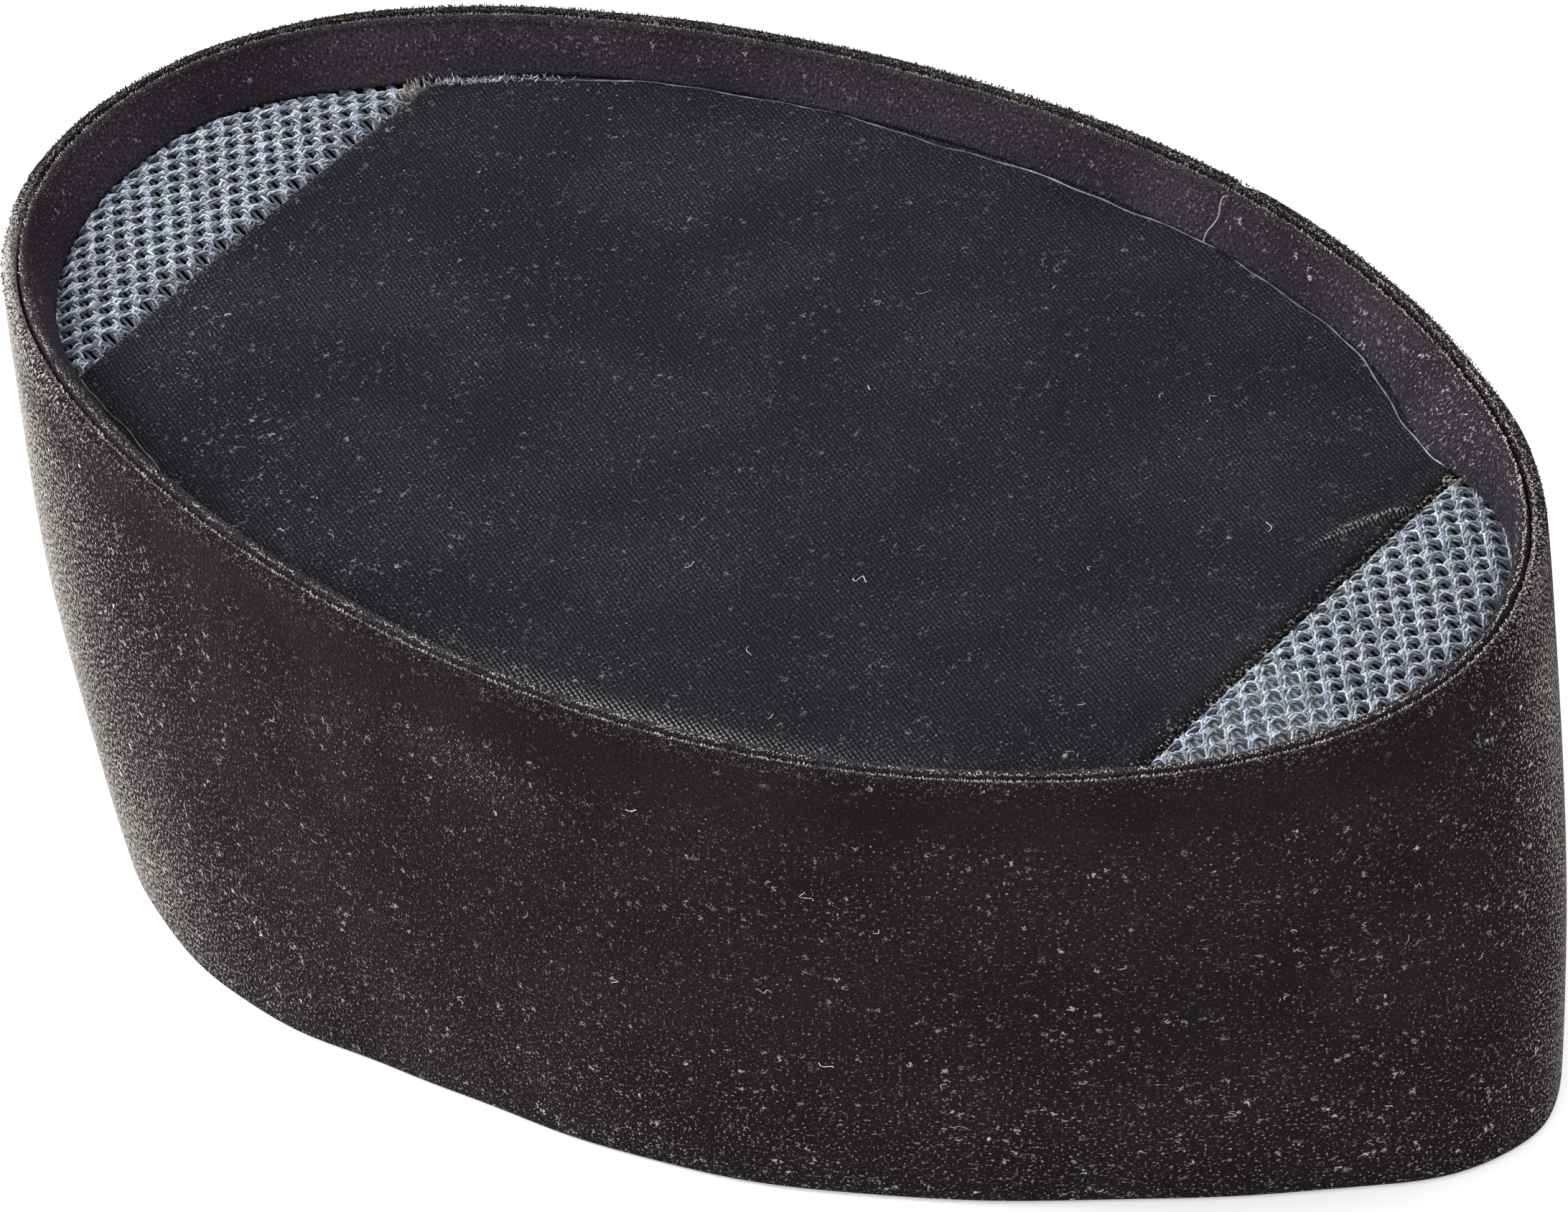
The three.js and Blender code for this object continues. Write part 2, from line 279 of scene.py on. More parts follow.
def tubes(paths, radii, sides):
    """Round strands along several paths of equally many points: a ring of corners round each point,
    square to the path, and a flat cap at each end. Returns points and two blocks of faces."""
    strands, steps = paths.shape[:2]
    tangent = unit(np.gradient(paths, axis=1))
    sideways = unit(np.cross(tangent, (0.0, 0.0, 1.0)))
    upward = np.cross(sideways, tangent)
    turn = np.arange(sides) * 2 * math.pi / sides
    spread = (np.cos(turn)[:, None] * sideways[:, :, None] + np.sin(turn)[:, None] * upward[:, :, None])
    radii = np.broadcast_to(np.asarray(radii, float), (strands, steps))
    points = paths[:, :, None] + radii[:, :, None, None] * spread
    start = np.arange(strands)[:, None, None] * steps * sides
    walls = (start + grid_faces(steps, sides, round_columns=True)).reshape(-1, 4)
    ring = np.arange(sides)
    caps = np.concatenate([start[:, 0] + ring, start[:, 0] + (steps - 1) * sides + ring[::-1]])
    return points.reshape(-1, 3), walls, caps


def tufts(feet, directions, lengths, widths):
    """Small closed spikes of pile: a three-cornered stem that is widest at half its length and ends in
    a point. Returns points and blocks of faces; each spike has seven points."""
    directions = unit(directions)
    helper = np.where(np.abs(directions[:, 2:]) > 0.9, (1.0, 0.0, 0.0), (0.0, 0.0, 1.0))
    side = unit(np.cross(directions, helper))
    other = np.cross(directions, side)
    turn = np.arange(3) * 2 * math.pi / 3
    ring = np.cos(turn)[:, None] * side[:, None] + np.sin(turn)[:, None] * other[:, None]
    foot = feet[:, None] + 0.35 * widths[:, None, None] * ring
    middle = (feet + 0.5 * lengths[:, None] * directions)[:, None] + 0.5 * widths[:, None, None] * ring
    tip = (feet + lengths[:, None] * directions)[:, None]
    points = np.concatenate([foot, middle, tip], 1).reshape(-1, 3)
    start = np.arange(len(feet))[:, None, None] * 7
    stem = np.array([(k, (k + 1) % 3, (k + 1) % 3 + 3, k + 3) for k in range(3)])
    point = np.array([(k + 3, (k + 1) % 3 + 3, 6) for k in range(3)])
    base = np.array([(2, 1, 0)])
    blocks = [(start + block).reshape(-1, block.shape[1]) for block in (stem, point, base)]
    return points, blocks


def tuft_piece(name, feet, directions, lengths, widths, tones, fibres, shares=(0.3, 0.9)):
    """A piece of tufts. Each has a share of its tone at its foot and at its middle, and all of it at
    its tip."""
    points, faces = tufts(feet, directions, lengths, widths)
    tone = tones[:, None] * np.repeat((*shares, 1.0), (3, 3, 1))
    return add_piece(name, points, faces, [fibres], attributes={"tone": tone})


def strand_piece(name, paths, radii, tones, fibres, sides=5):
    """A piece of round strands, with a tone for each point of their paths."""
    points, walls, caps = tubes(paths, radii, sides)
    tone = np.repeat(tones, sides)
    return add_piece(name, points, [walls, caps], [fibres], attributes={"tone": tone})


# Materials

def linear(hex_colour):
    """Turns an sRGB colour such as "1f1c1e" to linear red, green, blue and 1."""
    channels = np.array([int(hex_colour[k:k + 2], 16) for k in (0, 2, 4)]) / 255
    bright = ((channels + 0.055) / 1.055) ** 2.4
    return (*np.where(channels <= 0.04045, channels / 12.92, bright), 1.0)


def add_node(tree, kind, inputs=None, **settings):
    """Adds a node, sets its properties, and links or sets each of the inputs named. A node given as
    an input stands for its first output."""
    node = tree.nodes.new("ShaderNode" + kind)
    for key, value in settings.items():
        setattr(node, key, value)
    for key, value in (inputs or {}).items():
        value = value.outputs[0] if isinstance(value, bpy.types.Node) else value
        if isinstance(value, bpy.types.NodeSocket):
            tree.links.new(value, node.inputs[key])
        else:
            node.inputs[key].default_value = value
    return node


# Places of the colour sockets on a Mix node, which has one set of sockets for each kind of value.
MIX_A, MIX_B, MIX_RESULT = 6, 7, 2


def new_material(name):
    """A material with its node tree and its shader."""
    material = bpy.data.materials.new(name)
    material.use_nodes = True
    tree = material.node_tree
    return material, tree, tree.nodes["Principled BSDF"]


def dress(tree, shader, colour, relief, strength, depth, roughness):
    """Gives a shader its colour, a relief so many millimetres deep and its roughness."""
    bump = add_node(tree, "Bump", {"Height": relief, "Strength": strength, "Distance": depth * MM})
    tree.links.new(bump.outputs[0], shader.inputs["Normal"])
    tree.links.new(colour, shader.inputs["Base Color"])
    shader.inputs["Roughness"].default_value = roughness


# Noises on the velvet, by the width of their patches in millimetres. Real fibres are a hundredth of a
# millimetre wide: their clumps and the flecks are drawn this coarse so that they show.
VELVET_NOISES = [
    dict(width=0.45, detail=1.5, roughness=0.6),  # clumps of fibres
    dict(width=24, detail=2.0, roughness=0.5),  # patches where the nap leans one way
    dict(width=0.6, detail=1.0, roughness=0.5),  # ragged edges of the flecks
    dict(width=8, detail=4.0, roughness=0.75),  # drifts of flecks
]
FLECK_SPACING = 1.05
FLECK_STRAY = 1.6  # how far the noise moves the flecks out of their even cells
PILE_RELIEF = 0.4


def cut_pile_velvet(name, deep, lit, row_pitch, dot_pitch, row_slope, row_depth, sheen):
    """Cotton velvet, woven and cut: the pile swallows light, so it is near black, its rows show as
    faint dotted lines, and dust and single fibre ends give pale flecks. It has no gloss, only a sheen
    where it is seen along the surface. Where it is worn, the threads of its ground show through. Its
    dust and wear attributes also carry painted light, so some of its pale layers are painted sheen
    and highlight."""
    material, tree, shader = new_material(name)
    cloth = add_node(tree, "UVMap", uv_map="Cloth").outputs["UV"]
    wear_and_highlight = add_node(tree, "Attribute", attribute_name="wear_and_highlight").outputs["Fac"]
    dust_and_painted_light = add_node(tree, "Attribute", attribute_name="dust_and_painted_light").outputs["Fac"]

    clumps, nap, ragged, drift = (
        add_node(tree, "TexNoise", {"Vector": cloth, "Scale": 1 / row["width"], "Detail": row["detail"],
                                    "Roughness": row["roughness"]}, noise_dimensions="2D")
        for row in VELVET_NOISES)
    grain = add_node(tree, "MapRange", {"Value": clumps, "From Min": 0.34, "From Max": 0.74,
                                        "To Min": 0.2})
    leaning = add_node(tree, "MapRange", {"Value": nap, "From Min": 0.36, "From Max": 0.64,
                                          "To Min": 0.5})

    # Rows of pile: the sum of a wave across the rows and one along them peaks at each dot.
    turned = add_node(tree, "VectorRotate", {"Vector": cloth, "Angle": row_slope}, rotation_type="Z_AXIS")
    axes = add_node(tree, "SeparateXYZ", {"Vector": turned})
    waves = []
    for axis, pitch in (("Y", row_pitch), ("X", dot_pitch)):
        phase = add_node(tree, "Math", {0: axes.outputs[axis], 1: 2 * math.pi / pitch},
                         operation="MULTIPLY")
        waves.append(add_node(tree, "Math", {0: phase}, operation="COSINE"))
    dots = add_node(tree, "Math", {0: waves[0], 1: 0.5, 2: 0.0}, operation="MULTIPLY_ADD")
    dots = add_node(tree, "Math", {0: waves[1], 1: 0.25, 2: dots}, operation="MULTIPLY_ADD")
    dots = add_node(tree, "MapRange", {"Value": dots, "From Min": -0.30, "From Max": 0.70})

    # Rows, clumps and the leaning nap lift the cloth from its deepest black.
    rows = add_node(tree, "MapRange", {"Value": dots, "To Min": 1 - row_depth})
    lift = add_node(tree, "Math", {0: rows, 1: grain}, operation="MULTIPLY")
    lift = add_node(tree, "Math", {0: lift, 1: leaning}, operation="MULTIPLY")

    # Fine pale dust lies on the clumps that stand highest, and on more of them where the dust attribute
    # is higher. Where that attribute holds painted light, at the side's edges seen edge-on, near the hem,
    # at the facing's top and on the crown's crease, this layer is painted sheen and highlight.
    lowest = add_node(tree, "Math", {0: dust_and_painted_light, 1: -0.105, 2: 0.74}, operation="MULTIPLY_ADD")
    highest = add_node(tree, "Math", {0: lowest, 1: 0.16})
    fine_dust_and_sheen = add_node(tree, "MapRange", {"Value": clumps, "From Min": lowest, "From Max": highest,
                                         "To Max": 0.8})

    # Flecks: each cell has one fibre end or speck of a ragged shape, most of them faint and small,
    # thicker in drifts. Few of them have a strong hue of their own.
    strayed = add_node(tree, "VectorMath", {0: ragged.outputs["Color"], 1: (FLECK_STRAY, FLECK_STRAY, 0.0),
                                            2: cloth}, operation="MULTIPLY_ADD")
    cells = add_node(tree, "TexVoronoi", {"Vector": strayed, "Scale": 1 / FLECK_SPACING},
                     voronoi_dimensions="2D")
    chance = add_node(tree, "SeparateColor", {"Color": cells.outputs["Color"]})
    strength = add_node(tree, "Math", {0: chance, 1: 8.0}, operation="POWER")
    edge = add_node(tree, "Math", {0: strength, 1: 0.22, 2: 0.18}, operation="MULTIPLY_ADD")
    speck = add_node(tree, "MapRange", {"Value": cells, "From Min": edge, "From Max": 0.08})
    cloud = add_node(tree, "MapRange", {"Value": drift, "From Min": 0.42, "From Max": 0.66,
                                        "To Min": 0.12, "To Max": 1.3})
    amount = add_node(tree, "Math", {0: dust_and_painted_light, 1: 1.1}, operation="MINIMUM")
    for factor in (cloud, strength, speck):
        amount = add_node(tree, "Math", {0: amount, 1: factor}, operation="MULTIPLY")
    vivid = add_node(tree, "MapRange", {"Value": chance.outputs[2], "From Min": 0.90, "From Max": 1.0,
                                        "To Min": 1.0, "To Max": 3.6})
    hue = add_node(tree, "HueSaturation", {"Hue": chance.outputs[1], "Saturation": vivid,
                                           "Color": linear("cbc5bd")})

    # Bare threads of the ground weave at the rubbed places. On the crown's crease the same pale threads
    # are a painted highlight.
    bare_threads_and_highlight = add_node(tree, "Math", {0: dots, 1: 3.0}, operation="POWER")
    bare_threads_and_highlight = add_node(tree, "Math", {0: bare_threads_and_highlight, 1: wear_and_highlight}, operation="MULTIPLY")

    # Each colour lies over those before it.
    colour = linear(deep)
    for share, over in ((lift, linear(lit)), (fine_dust_and_sheen, linear("aaa49e")), (amount, hue),
                        (bare_threads_and_highlight, linear("c2c0bc"))):
        colour = add_node(tree, "Mix", {0: share, MIX_A: colour, MIX_B: over},
                          data_type="RGBA").outputs[MIX_RESULT]
    relief = add_node(tree, "Math", {0: dots, 1: 0.35 * row_depth, 2: clumps}, operation="MULTIPLY_ADD")
    dress(tree, shader, colour, relief, strength=0.9, depth=PILE_RELIEF, roughness=0.6)
    shader.inputs["Specular IOR Level"].default_value = 0.0
    shader.inputs["Sheen Weight"].default_value = sheen
    shader.inputs["Sheen Roughness"].default_value = 0.08
    shader.inputs["Sheen Tint"].default_value = linear("dcd4d2")
    return material


def plain_black_weave():
    """The woven back of the velvet inside the hat: dull black cotton without a shine, whose threads
    are drawn a little further apart than real ones so that they show."""
    thread_spacing = 0.6
    material, tree, shader = new_material("velvet_back_weave")
    place = add_node(tree, "TexCoord").outputs["Object"]
    threads = add_node(tree, "TexMagic", {"Vector": place, "Scale": 2.2 / (thread_spacing * MM),
                                          "Distortion": 0.4}, turbulence_depth=1)
    colour = add_node(tree, "Mix", {0: threads.outputs[1], MIX_A: linear("141315"),
                                    MIX_B: linear("262428")}, data_type="RGBA")
    dress(tree, shader, colour.outputs[MIX_RESULT], threads.outputs[1], strength=0.3, depth=0.15,
          roughness=0.9)
    shader.inputs["Specular IOR Level"].default_value = 0.2
    return material


def fibre(name, dark, pale, roughness, sheen, unevenness=0.4):
    """Spun or cut fibre whose tone is held by the mesh: 0 gives the dark colour and 1 the pale one.
    Noise along it stands for its single filaments, which break up the light. It is drawn far coarser
    than real filaments are, so that it shows."""
    filament_spacing = 0.35
    material, tree, shader = new_material(name)
    place = add_node(tree, "TexCoord").outputs["Object"]
    tone = add_node(tree, "Attribute", attribute_name="tone").outputs["Fac"]
    filaments = add_node(tree, "TexNoise", {"Vector": place, "Scale": 1 / (filament_spacing * MM),
                                            "Detail": 2.0})
    uneven = add_node(tree, "MapRange", {"Value": filaments, "From Min": 0.3, "From Max": 0.7,
                                         "To Min": 1 - unevenness, "To Max": 1 + unevenness})
    mixed = add_node(tree, "Math", {0: tone, 1: uneven}, operation="MULTIPLY", use_clamp=True)
    colour = add_node(tree, "Mix", {0: mixed, MIX_A: linear(dark), MIX_B: linear(pale)}, data_type="RGBA")
    dress(tree, shader, colour.outputs[MIX_RESULT], filaments, strength=0.4, depth=0.1,
          roughness=roughness)
    shader.inputs["Sheen Weight"].default_value = sheen
    return material


# Velvet pieces

def roll(outer, wall, top, steps):
    """The round top of a fold: half a circle from the outer to the inner side, as insets and heights."""
    turn = np.linspace(0, math.pi, steps)
    return outer + wall / 2 * (1 - np.cos(turn)), top - wall / 2 * (1 - np.sin(turn))


def distances(line):
    """Distance along a line at each of its points."""
    return np.append(0, np.cumsum(np.linalg.norm(np.diff(line, axis=0), axis=1)))


def section_lengths(inset, height):
    """Distance along a closed section, one value more than it has points."""
    return distances(np.stack([np.append(inset, inset[0]), np.append(height, height[0])], -1))


def round_lengths(angle):
    """Distance round the rim at each angle, one value more than there are angles."""
    return distances(side_point(np.append(angle, angle[0] + 2 * math.pi), np.ones(len(angle) + 1)))


def angles_round(count):
    """Even angles once round the hat from its front."""
    return np.arange(count) / count * 2 * math.pi - QUARTER_TURN


def band_piece(velvet, weave):
    """The side: a wall of even thickness with a round fold at the rim and at the hem. Its outer face
    waves by a quarter of a millimetre, as cloth glued over board does, and bulges in places. Its dust
    attribute is a sum of bell curves: places round the hat, more near the hem and less under the rim,
    and some on a small worn patch. The places round the hat are mostly painted sheen where the side
    is seen edge-on, the rise near the hem is partly flecks and partly painted light thrown up from the
    floor, and the fall under the rim makes the cloth darker just there."""
    angle = angles_round(ROUND_STEPS)
    rows = 46
    straight = np.linspace(BAND_WALL / 2, HEIGHT - BAND_WALL / 2, rows)
    top_inset, top_height = roll(0, BAND_WALL, HEIGHT, 11)
    hem_inset, hem_height = roll(0, BAND_WALL, BAND_WALL / 2, 7)
    hem_height = BAND_WALL / 2 - hem_height
    inset = np.concatenate([np.zeros(rows), top_inset[1:], np.full(rows - 2, BAND_WALL),
                            hem_inset[::-1][:-1]])
    height = np.concatenate([straight, top_height[1:], straight[::-1][1:-1], hem_height[::-1][:-1]])
    turn = angle[:, None]
    on_face = np.clip(1 - inset / BAND_WALL, 0, 1)
    wave = 0.14 * np.sin(9 * turn + height / 17) + 0.11 * np.sin(23 * turn - height / 9)
    groove = JOIN_DEPTH * join_depth(turn)
    points = wall_point(turn, height, inset - bulge(turn, height) + on_face * (groove - wave))
    patch = (bell_round(turn, 183.5, 5) * soft_bump(height, 65.5, 4)
             + bell_round(turn, 188, 4) * soft_bump(height, 62, 4)) * on_face
    wear_and_highlight = 0.04 * patch
    # More near the hem as flecks and as painted light from the floor; darker just under the rim.
    dust_and_painted_light = 0.5 + 0.35 * patch + 0.4 * soft_bump(height, 6, 18) - 0.5 * soft_bump(height, HEIGHT - 6, 4)
    dust_and_painted_light = dust_and_painted_light + sum(drift["dust_and_painted_light"] * bell_round(turn, drift["angle"], drift["reach"])
                      for drift in SIDE_DUST_AND_SHEEN)
    cloth = grid_cloth(round_lengths(angle), section_lengths(inset, height))
    faces = grid_faces(len(angle), len(inset), True, True)
    inner = (inset > BAND_WALL - 0.01) & (height < HEIGHT - 4)
    index = np.broadcast_to(inner, (len(angle), len(inset))).ravel()
    return add_piece("band_velvet", points, [faces], [velvet, weave], ["side_band"],
                     {"wear_and_highlight": wear_and_highlight, "dust_and_painted_light": dust_and_painted_light}, cloth, index)


def facing_piece(velvet):
    """The facing: from its fold at the rim it slants in to the crown, and its back runs up again
    behind it, closed at the foot. Its face is puffed by a sum of two sines round the hat."""
    face_rows = 15
    fold_rows = 9
    angle = angles_round(ROUND_STEPS)
    outer = BAND_WALL + GAP
    top_inset, top_height = roll(outer, FACING_WALL, HEIGHT, fold_rows)
    foot = CROWN_EDGE + GAP
    share = np.linspace(0, 1, face_rows + 1)[1:]
    face_inset = top_inset[-1] + (CROWN_INSET - top_inset[-1]) * share
    face_height = top_height[-1] + (foot - top_height[-1]) * share
    back_inset = np.linspace(CROWN_INSET - FACING_WALL, outer, 8)
    back_height = np.linspace(foot, top_height[0] - 3.2, 8)
    inset = np.concatenate([top_inset, face_inset, back_inset])
    height = np.concatenate([top_height, face_height, back_height])
    turn = angle[:, None]
    slanting = np.maximum(inset - outer - FACING_WALL, 0) / FACING_RUN
    on_face = soft_bump(inset, CROWN_INSET - 2.3, 2.2) * (np.arange(len(inset)) < fold_rows + face_rows)
    puff = 0.25 * on_face * (1 + 0.6 * np.sin(7 * turn) + 0.4 * np.sin(19 * turn + 1))
    groove = 0.5 * JOIN_DEPTH * join_depth(turn) * (inset - outer) / (CROWN_INSET - outer)
    bend = slanting * (crown_inset(turn) - CROWN_INSET)
    out = bulge(turn, height) * (1 - slanting)
    points = wall_point(turn, height + puff, inset + 0.5 * puff - groove + bend - out)
    cloth = grid_cloth(round_lengths(angle), section_lengths(inset, height))
    faces = grid_faces(len(angle), len(inset), True, True)
    wear_and_highlight = np.zeros(points.shape[:2])
    # More flecks at the front left. Near the facing's top the dust attribute rises as a painted highlight
    # where the velvet turns over the rim.
    dust_and_painted_light = wear_and_highlight + 0.12 + 0.5 * bell_round(turn, -46, 13) + 0.4 * soft_bump(height, HEIGHT - 2.5, 1.5)
    return add_piece("facing_velvet", points, [faces], [velvet], ["rim_facing"],
                     {"wear_and_highlight": wear_and_highlight, "dust_and_painted_light": dust_and_painted_light}, cloth)


# Soft ridges of the crown, each along a straight line from one place to another, left and rear of the
# middle being positive. The first two are the drag crease behind the front seam's left end.
CROWN_RIDGES = [
    dict(start=(27.0, -86.5), end=(18.5, -81.0), high=0.95, wide=0.7),
    dict(start=(21.5, -82.5), end=(12.5, -79.5), high=0.60, wide=0.6),
    dict(start=(36.0, -84.0), end=(16.0, -72.0), high=0.16, wide=3.0),
    dict(start=(8.0, 83.0), end=(20.0, 60.0), high=0.20, wide=3.6),
    dict(start=(-30.0, -82.0), end=(-12.0, -68.0), high=0.15, wide=2.6),
]

# The line beside the rim where the crown is worn to its weave, in millimetres across and along the hat.
WEAVE_LINE = dict(across=-58.3, middle=-8, bend=0.0043, wide=1.7, worn_at=-26, reach=20)


def ridge(x, y, row):
    """A bell-shaped ridge along a line that fades out towards both of its ends."""
    start = np.array(row["start"])
    run = np.array(row["end"]) - start
    length = np.linalg.norm(run)
    run /= length
    along = (x - start[0]) * run[0] + (y - start[1]) * run[1]
    away = (x - start[0]) * run[1] - (y - start[1]) * run[0]
    return row["high"] * soft_bump(away, 0, row["wide"]) * soft_bump(along / length, 0.45, 0.42)


def crown_level(x, y):
    """Top of the crown: a parabola across, a low welt along each seam, the ridges and a slow swell."""
    to_seam = np.minimum(y - FRONT_SEAM, REAR_SEAM - y)
    level = CROWN_EDGE + CROWN_RISE * (1 - share_across(x, y) ** 2)
    level = level + 0.22 * soft_bump(to_seam, 1.6, 1.2) - 0.12 * soft_bump(to_seam, 4.2, 1.0)
    level = level + sum(ridge(x, y, row) for row in CROWN_RIDGES)
    return level + 0.10 * np.sin(x / 9 + y / 13) * np.sin(y / 21 - x / 17)


def crown_piece(velvet, weave):
    """The crown panel: a sheet whose thickness runs out by a quarter circle at its edge all round. Its
    rows lie closer at the seams and its columns closer at the sides. Its top is velvet, worn down to
    the weave along a line beside the rim, and its underside is the velvet's woven back."""
    columns = 150
    row_pitch = 0.95
    seam_zone = 3.0
    length = REAR_SEAM - FRONT_SEAM
    coarse = np.arange(seam_zone, length - seam_zone, row_pitch)
    fine = seam_zone * np.linspace(0, 1, 9)[:-1] ** 1.7
    from_front = np.concatenate([fine, coarse, length - fine[::-1]])
    bow = math.radians(80)
    across = np.sin(np.linspace(-1, 1, columns) * bow) / math.sin(bow)
    rim_line = wall_point(side_angles(1, 721), CROWN_EDGE, BAND_WALL + GAP)
    half = np.interp(FRONT_SEAM + from_front, rim_line[:, 1], rim_line[:, 0])[:, None]
    x = across[None, :] * half
    y = (FRONT_SEAM + from_front)[:, None] + 0 * x
    to_seam = np.minimum(from_front, from_front[::-1])[:, None]
    radius = CROWN_WALL / 2
    edge = np.clip(np.minimum(to_seam, half - np.abs(x)) / radius, 0, 1)
    half_thickness = radius * np.sqrt(1 - (1 - edge) ** 2)
    middle = crown_level(x, y) - radius
    top = np.stack([x, y, middle + half_thickness], -1)
    under = np.stack([x, y, middle - half_thickness], -1)
    rows = len(from_front)
    inside = np.zeros((rows, columns), bool)
    inside[1:-1, 1:-1] = True
    under_index = np.arange(rows * columns).reshape(rows, columns)
    under_index[inside] = rows * columns + np.arange(inside.sum())
    top_faces = grid_faces(rows, columns)[:, ::-1]
    under_faces = under_index.ravel()[grid_faces(rows, columns)]
    faces = np.concatenate([top_faces, under_faces])
    points = np.concatenate([top.reshape(-1, 3), under[inside]])
    x, y = points[:, 0], points[:, 1]
    # The line worn to the weave is a parabola in plan. The crease is made paler through both attributes
    # as a painted highlight, and the seams carry more flecks.
    weave_line = WEAVE_LINE["across"] + WEAVE_LINE["bend"] * (y - WEAVE_LINE["middle"]) ** 2
    crease_highlight = sum(ridge(x, y, row) / row["high"] for row in CROWN_RIDGES[:2])
    wear_and_highlight = soft_bump(x, weave_line, WEAVE_LINE["wide"])
    wear_and_highlight = 0.8 * wear_and_highlight * soft_bump(y, WEAVE_LINE["worn_at"], WEAVE_LINE["reach"]) + 0.45 * crease_highlight
    dust_and_painted_light = 0.2 + 0.1 * soft_bump(y, REAR_SEAM, 60) + 0.25 * soft_bump(x, weave_line, 7)
    dust_and_painted_light = dust_and_painted_light + 0.3 * soft_bump(np.minimum(y - FRONT_SEAM, REAR_SEAM - y), 0, 2) + 1.6 * crease_highlight
    index = np.repeat([0, 1], [len(top_faces), len(under_faces)])
    return add_piece("crown_velvet", points, [faces], [velvet, weave], ["crown_panel"],
                     {"wear_and_highlight": wear_and_highlight, "dust_and_painted_light": dust_and_painted_light}, points[faces.ravel()][:, :2], index)


# Knitted vents

NODE_ACROSS = 3.9  # between nodes of the net across the hat
NODE_ALONG = 1.86  # between rows of nodes
WALE_PITCH = NODE_ACROSS / 2
WALE_SWING = 0.50
UNDER_FACING = 1.0  # how far the net runs on beneath the facing's foot
UNDER_CROWN = 2.5  # how far it runs on beneath the velvet
CLIMB = 1.2  # how far beyond the seam the net has come up beside the velvet

YARN_SIDES = 4
PLY_RING = 0.35  # from the middle line of a wale to the middle of each of its yarns
PLY_RADIUS = 0.20
PLY_TONES = np.array([0.25, 0.42, 0.15, 0.70])
WALE_DEPTH = 0.50  # from the vent's top to a wale's middle line
UNDER_RADIUS = 0.25
UNDER_TONE = 0.32
UNDER_DEPTH = 1.45
UNDER_SWING = 0.3
STITCH_RADIUS = 0.19
STITCH_STEPS = 6
STITCH_PLACES = np.array([-0.76, -0.38, 0, 0.38, 0.76])  # along the hat from each node
STITCH_REACH = 0.72  # half the length of a stitch across the hat


def vent_level(x, y, seam, end):
    """Top of the vent: it climbs by a parabola from under the velvet to the facing's foot, and carries
    a pillow that falls to its edge by an eighth power both ways."""
    tip_angle = end * QUARTER_TURN
    tip = abs(wall_point(tip_angle, CROWN_EDGE, crown_inset(tip_angle))[1])
    start = abs(seam) + GAP
    beyond = np.maximum(end * y - start, 0)
    along = np.minimum(beyond / (tip - start), 1)
    climbed = np.minimum(beyond / CLIMB, 1)
    lift = (CROWN_EDGE - VENT_EDGE) * climbed * (2 - climbed)
    return VENT_EDGE + lift + VENT_PUFF * (1 - share_across(x, y) ** 8) * (1 - (2 * along - 1) ** 8)


def wale_paths(middle_x, wale, swing, spacing, seam, end, drop):
    """The middle line of one zigzag wale: it runs along the hat from under the velvet to the facing
    and swings from side to side as a sine, touching the next wale at each extreme."""
    y_line = np.linspace(abs(seam) - UNDER_CROWN, RIM_LENGTH / 2, 400)
    side = 1 if middle_x > 0 else -1
    room = crown_reach(end * y_line, side) - abs(middle_x)
    reach = y_line[room > -UNDER_FACING]
    reach = reach[reach < abs(wall_point(end * QUARTER_TURN, CROWN_EDGE, CROWN_INSET - UNDER_FACING)[1])]
    if len(reach) < 12:
        return None
    steps = max(8, int((reach[-1] - reach[0]) / spacing))
    y = end * np.linspace(reach[0], reach[-1], steps)
    x = middle_x + swing * np.sin(math.pi * y / NODE_ALONG + wale * math.pi)
    return np.stack([x, y, vent_level(x, y, seam, end) - drop], -1)


def node_stitches(seam, end):
    """Short stitches side by side over each node, where two wales touch: each runs across the hat as a
    parabola that stands about a third of a millimetre above its ends."""
    count = int(RIM_WIDTH / 2 / WALE_PITCH)
    wale = np.arange(-count, count)[:, None]
    row = np.arange(-40, 40)[None, :]
    x = (wale + 1) * WALE_PITCH + 0.0 * row
    y = NODE_ALONG * (0.5 - wale + 2 * row)
    room = np.where(x > 0, crown_reach(y, 1), crown_reach(y, -1)) - np.abs(x)
    kept = (end * y > abs(seam) - 1) & (end * y < RIM_LENGTH / 2 - CROWN_INSET) & (room > 0.3)
    x = x[kept][:, None, None]
    y = y[kept][:, None, None] + STITCH_PLACES[None, :, None]
    run = np.linspace(-1, 1, STITCH_STEPS)[None, None, :]
    size = (x.shape[0], len(STITCH_PLACES), 1)
    x = x + run * STITCH_REACH * random.uniform(0.6, 1.2, size) + random.uniform(-0.22, 0.22, size)
    y = y + 0 * x + random.uniform(-0.10, 0.10, size) + random.uniform(-0.22, 0.22, size) * run
    z = vent_level(x, y, seam, end) - 0.42 + 0.30 * (1 - run ** 2) * random.uniform(0.3, 1.5, size)
    return np.stack([x, y, z], -1).reshape(-1, STITCH_STEPS, 3)


